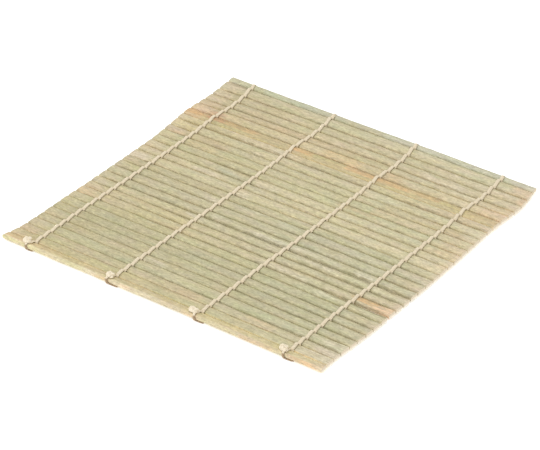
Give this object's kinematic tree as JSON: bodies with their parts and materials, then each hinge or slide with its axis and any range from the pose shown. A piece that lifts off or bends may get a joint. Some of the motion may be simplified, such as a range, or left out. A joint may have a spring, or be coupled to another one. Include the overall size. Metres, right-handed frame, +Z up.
{
  "type": "bamboo steamer mat",
  "caption": "Flat roll-up mat of split-bamboo slats bound side by side with knotted cotton twines, laid in a steamer under food or used to roll it",
  "frame": {"origin": "under the middle of the mat, on the surface that it lies on", "axes": "+X along the slats to the right, +Y across the slats to the edge where the twines fold round the first slat, away from their knots, +Z up"},
  "size_m": [0.26, 0.2485, 0.0076],
  "materials": {
    "bamboo": "raw",
    "bamboo_stained": "raw",
    "cotton": "matte"
  },
  "bodies": {
    "slat_31": {"slat_31": "bamboo", "twine_1": "cotton", "twine_2": "cotton", "twine_3": "cotton", "twine_4": "cotton"},
    "slat_30": {"slat_30": "bamboo"},
    "slat_29": {"slat_29": "bamboo"},
    "slat_28": {"slat_28": "bamboo"},
    "slat_27": {"slat_27": "bamboo"},
    "slat_26": {"slat_26": "bamboo"},
    "slat_25": {"slat_25": "bamboo"},
    "slat_24": {"slat_24": "bamboo"},
    "slat_23": {"slat_23": "bamboo"},
    "slat_22": {"slat_22": "bamboo"},
    "slat_21": {"slat_21": "bamboo"},
    "slat_20": {"slat_20": "bamboo"},
    "slat_19": {"slat_19": "bamboo"},
    "slat_18": {"slat_18": "bamboo"},
    "slat_17": {"slat_17": "bamboo"},
    "slat_16": {"slat_16": "bamboo"},
    "slat_15": {"slat_15": "bamboo"},
    "slat_14": {"slat_14": "bamboo"},
    "slat_13": {"slat_13": "bamboo"},
    "slat_12": {"slat_12": "bamboo"},
    "slat_11": {"slat_11": "bamboo"},
    "slat_10": {"slat_10": "bamboo"},
    "slat_09": {"slat_09": "bamboo"},
    "slat_08": {"slat_08": "bamboo"},
    "slat_07": {"slat_07": "bamboo_stained"},
    "slat_06": {"slat_06": "bamboo"},
    "slat_05": {"slat_05": "bamboo"},
    "slat_04": {"slat_04": "bamboo"},
    "slat_03": {"slat_03": "bamboo"},
    "slat_02": {"slat_02": "bamboo"},
    "slat_01": {"slat_01": "bamboo"}
  },
  "joints": [
    {"name": "fold_30", "type": "hinge", "parent": "slat_31", "child": "slat_30", "pos_m": [0, -0.11725, 0.00249], "axis": [1, 0, 0], "range_deg": [0, 15], "deforming": ["twine_1", "twine_2", "twine_3", "twine_4"]},
    {"name": "fold_29", "type": "hinge", "parent": "slat_30", "child": "slat_29", "pos_m": [0, -0.10975, 0.00249], "axis": [1, 0, 0], "range_deg": [0, 17], "deforming": ["twine_1", "twine_2", "twine_3", "twine_4"]},
    {"name": "fold_28", "type": "hinge", "parent": "slat_29", "child": "slat_28", "pos_m": [0, -0.10235, 0.00249], "axis": [1, 0, 0], "range_deg": [0, 18], "deforming": ["twine_1", "twine_2", "twine_3", "twine_4"]},
    {"name": "fold_27", "type": "hinge", "parent": "slat_28", "child": "slat_27", "pos_m": [0, -0.09375, 0.00249], "axis": [1, 0, 0], "range_deg": [0, 18], "deforming": ["twine_1", "twine_2", "twine_3", "twine_4"]},
    {"name": "fold_26", "type": "hinge", "parent": "slat_27", "child": "slat_26", "pos_m": [0, -0.08645, 0.00249], "axis": [1, 0, 0], "range_deg": [0, 18], "deforming": ["twine_1", "twine_2", "twine_3", "twine_4"]},
    {"name": "fold_25", "type": "hinge", "parent": "slat_26", "child": "slat_25", "pos_m": [0, -0.07795, 0.00249], "axis": [1, 0, 0], "range_deg": [0, 19], "deforming": ["twine_1", "twine_2", "twine_3", "twine_4"]},
    {"name": "fold_24", "type": "hinge", "parent": "slat_25", "child": "slat_24", "pos_m": [0, -0.07035, 0.00249], "axis": [1, 0, 0], "range_deg": [0, 19], "deforming": ["twine_1", "twine_2", "twine_3", "twine_4"]},
    {"name": "fold_23", "type": "hinge", "parent": "slat_24", "child": "slat_23", "pos_m": [0, -0.06205, 0.00249], "axis": [1, 0, 0], "range_deg": [0, 19], "deforming": ["twine_1", "twine_2", "twine_3", "twine_4"]},
    {"name": "fold_22", "type": "hinge", "parent": "slat_23", "child": "slat_22", "pos_m": [0, -0.05445, 0.00249], "axis": [1, 0, 0], "range_deg": [0, 19], "deforming": ["twine_1", "twine_2", "twine_3", "twine_4"]},
    {"name": "fold_21", "type": "hinge", "parent": "slat_22", "child": "slat_21", "pos_m": [0, -0.04635, 0.00249], "axis": [1, 0, 0], "range_deg": [0, 20], "deforming": ["twine_1", "twine_2", "twine_3", "twine_4"]},
    {"name": "fold_20", "type": "hinge", "parent": "slat_21", "child": "slat_20", "pos_m": [0, -0.03895, 0.00249], "axis": [1, 0, 0], "range_deg": [0, 20], "deforming": ["twine_1", "twine_2", "twine_3", "twine_4"]},
    {"name": "fold_19", "type": "hinge", "parent": "slat_20", "child": "slat_19", "pos_m": [0, -0.03095, 0.00249], "axis": [1, 0, 0], "range_deg": [0, 21], "deforming": ["twine_1", "twine_2", "twine_3", "twine_4"]},
    {"name": "fold_18", "type": "hinge", "parent": "slat_19", "child": "slat_18", "pos_m": [0, -0.02275, 0.00249], "axis": [1, 0, 0], "range_deg": [0, 23], "deforming": ["twine_1", "twine_2", "twine_3", "twine_4"]},
    {"name": "fold_17", "type": "hinge", "parent": "slat_18", "child": "slat_17", "pos_m": [0, -0.01405, 0.00249], "axis": [1, 0, 0], "range_deg": [0, 23], "deforming": ["twine_1", "twine_2", "twine_3", "twine_4"]},
    {"name": "fold_16", "type": "hinge", "parent": "slat_17", "child": "slat_16", "pos_m": [0, -0.00585, 0.00249], "axis": [1, 0, 0], "range_deg": [0, 22], "deforming": ["twine_1", "twine_2", "twine_3", "twine_4"]},
    {"name": "fold_15", "type": "hinge", "parent": "slat_16", "child": "slat_15", "pos_m": [0, 0.00145, 0.00249], "axis": [1, 0, 0], "range_deg": [0, 24], "deforming": ["twine_1", "twine_2", "twine_3", "twine_4"]},
    {"name": "fold_14", "type": "hinge", "parent": "slat_15", "child": "slat_14", "pos_m": [0, 0.01095, 0.00249], "axis": [1, 0, 0], "range_deg": [0, 24], "deforming": ["twine_1", "twine_2", "twine_3", "twine_4"]},
    {"name": "fold_13", "type": "hinge", "parent": "slat_14", "child": "slat_13", "pos_m": [0, 0.01815, 0.00249], "axis": [1, 0, 0], "range_deg": [0, 23], "deforming": ["twine_1", "twine_2", "twine_3", "twine_4"]},
    {"name": "fold_12", "type": "hinge", "parent": "slat_13", "child": "slat_12", "pos_m": [0, 0.02655, 0.00249], "axis": [1, 0, 0], "range_deg": [0, 25], "deforming": ["twine_1", "twine_2", "twine_3", "twine_4"]},
    {"name": "fold_11", "type": "hinge", "parent": "slat_12", "child": "slat_11", "pos_m": [0, 0.03415, 0.00249], "axis": [1, 0, 0], "range_deg": [0, 25], "deforming": ["twine_1", "twine_2", "twine_3", "twine_4"]},
    {"name": "fold_10", "type": "hinge", "parent": "slat_11", "child": "slat_10", "pos_m": [0, 0.04205, 0.00249], "axis": [1, 0, 0], "range_deg": [0, 25], "deforming": ["twine_1", "twine_2", "twine_3", "twine_4"]},
    {"name": "fold_09", "type": "hinge", "parent": "slat_10", "child": "slat_09", "pos_m": [0, 0.04935, 0.00249], "axis": [1, 0, 0], "range_deg": [0, 28], "deforming": ["twine_1", "twine_2", "twine_3", "twine_4"]},
    {"name": "fold_08", "type": "hinge", "parent": "slat_09", "child": "slat_08", "pos_m": [0, 0.05855, 0.00249], "axis": [1, 0, 0], "range_deg": [0, 28], "deforming": ["twine_1", "twine_2", "twine_3", "twine_4"]},
    {"name": "fold_07", "type": "hinge", "parent": "slat_08", "child": "slat_07", "pos_m": [0, 0.06565, 0.00249], "axis": [1, 0, 0], "range_deg": [0, 28], "deforming": ["twine_1", "twine_2", "twine_3", "twine_4"]},
    {"name": "fold_06", "type": "hinge", "parent": "slat_07", "child": "slat_06", "pos_m": [0, 0.07415, 0.00249], "axis": [1, 0, 0], "range_deg": [0, 32], "deforming": ["twine_1", "twine_2", "twine_3", "twine_4"]},
    {"name": "fold_05", "type": "hinge", "parent": "slat_06", "child": "slat_05", "pos_m": [0, 0.08295, 0.00249], "axis": [1, 0, 0], "range_deg": [0, 30], "deforming": ["twine_1", "twine_2", "twine_3", "twine_4"]},
    {"name": "fold_04", "type": "hinge", "parent": "slat_05", "child": "slat_04", "pos_m": [0, 0.08965, 0.00249], "axis": [1, 0, 0], "range_deg": [0, 31], "deforming": ["twine_1", "twine_2", "twine_3", "twine_4"]},
    {"name": "fold_03", "type": "hinge", "parent": "slat_04", "child": "slat_03", "pos_m": [0, 0.09835, 0.00249], "axis": [1, 0, 0], "range_deg": [0, 37], "deforming": ["twine_1", "twine_2", "twine_3", "twine_4"]},
    {"name": "fold_02", "type": "hinge", "parent": "slat_03", "child": "slat_02", "pos_m": [0, 0.10695, 0.00249], "axis": [1, 0, 0], "range_deg": [0, 43], "deforming": ["twine_1", "twine_2", "twine_3", "twine_4"]},
    {"name": "fold_01", "type": "hinge", "parent": "slat_02", "child": "slat_01", "pos_m": [0, 0.11705, 0.00249], "axis": [1, 0, 0], "range_deg": [0, 42], "deforming": ["twine_1", "twine_2", "twine_3", "twine_4"]}
  ]
}
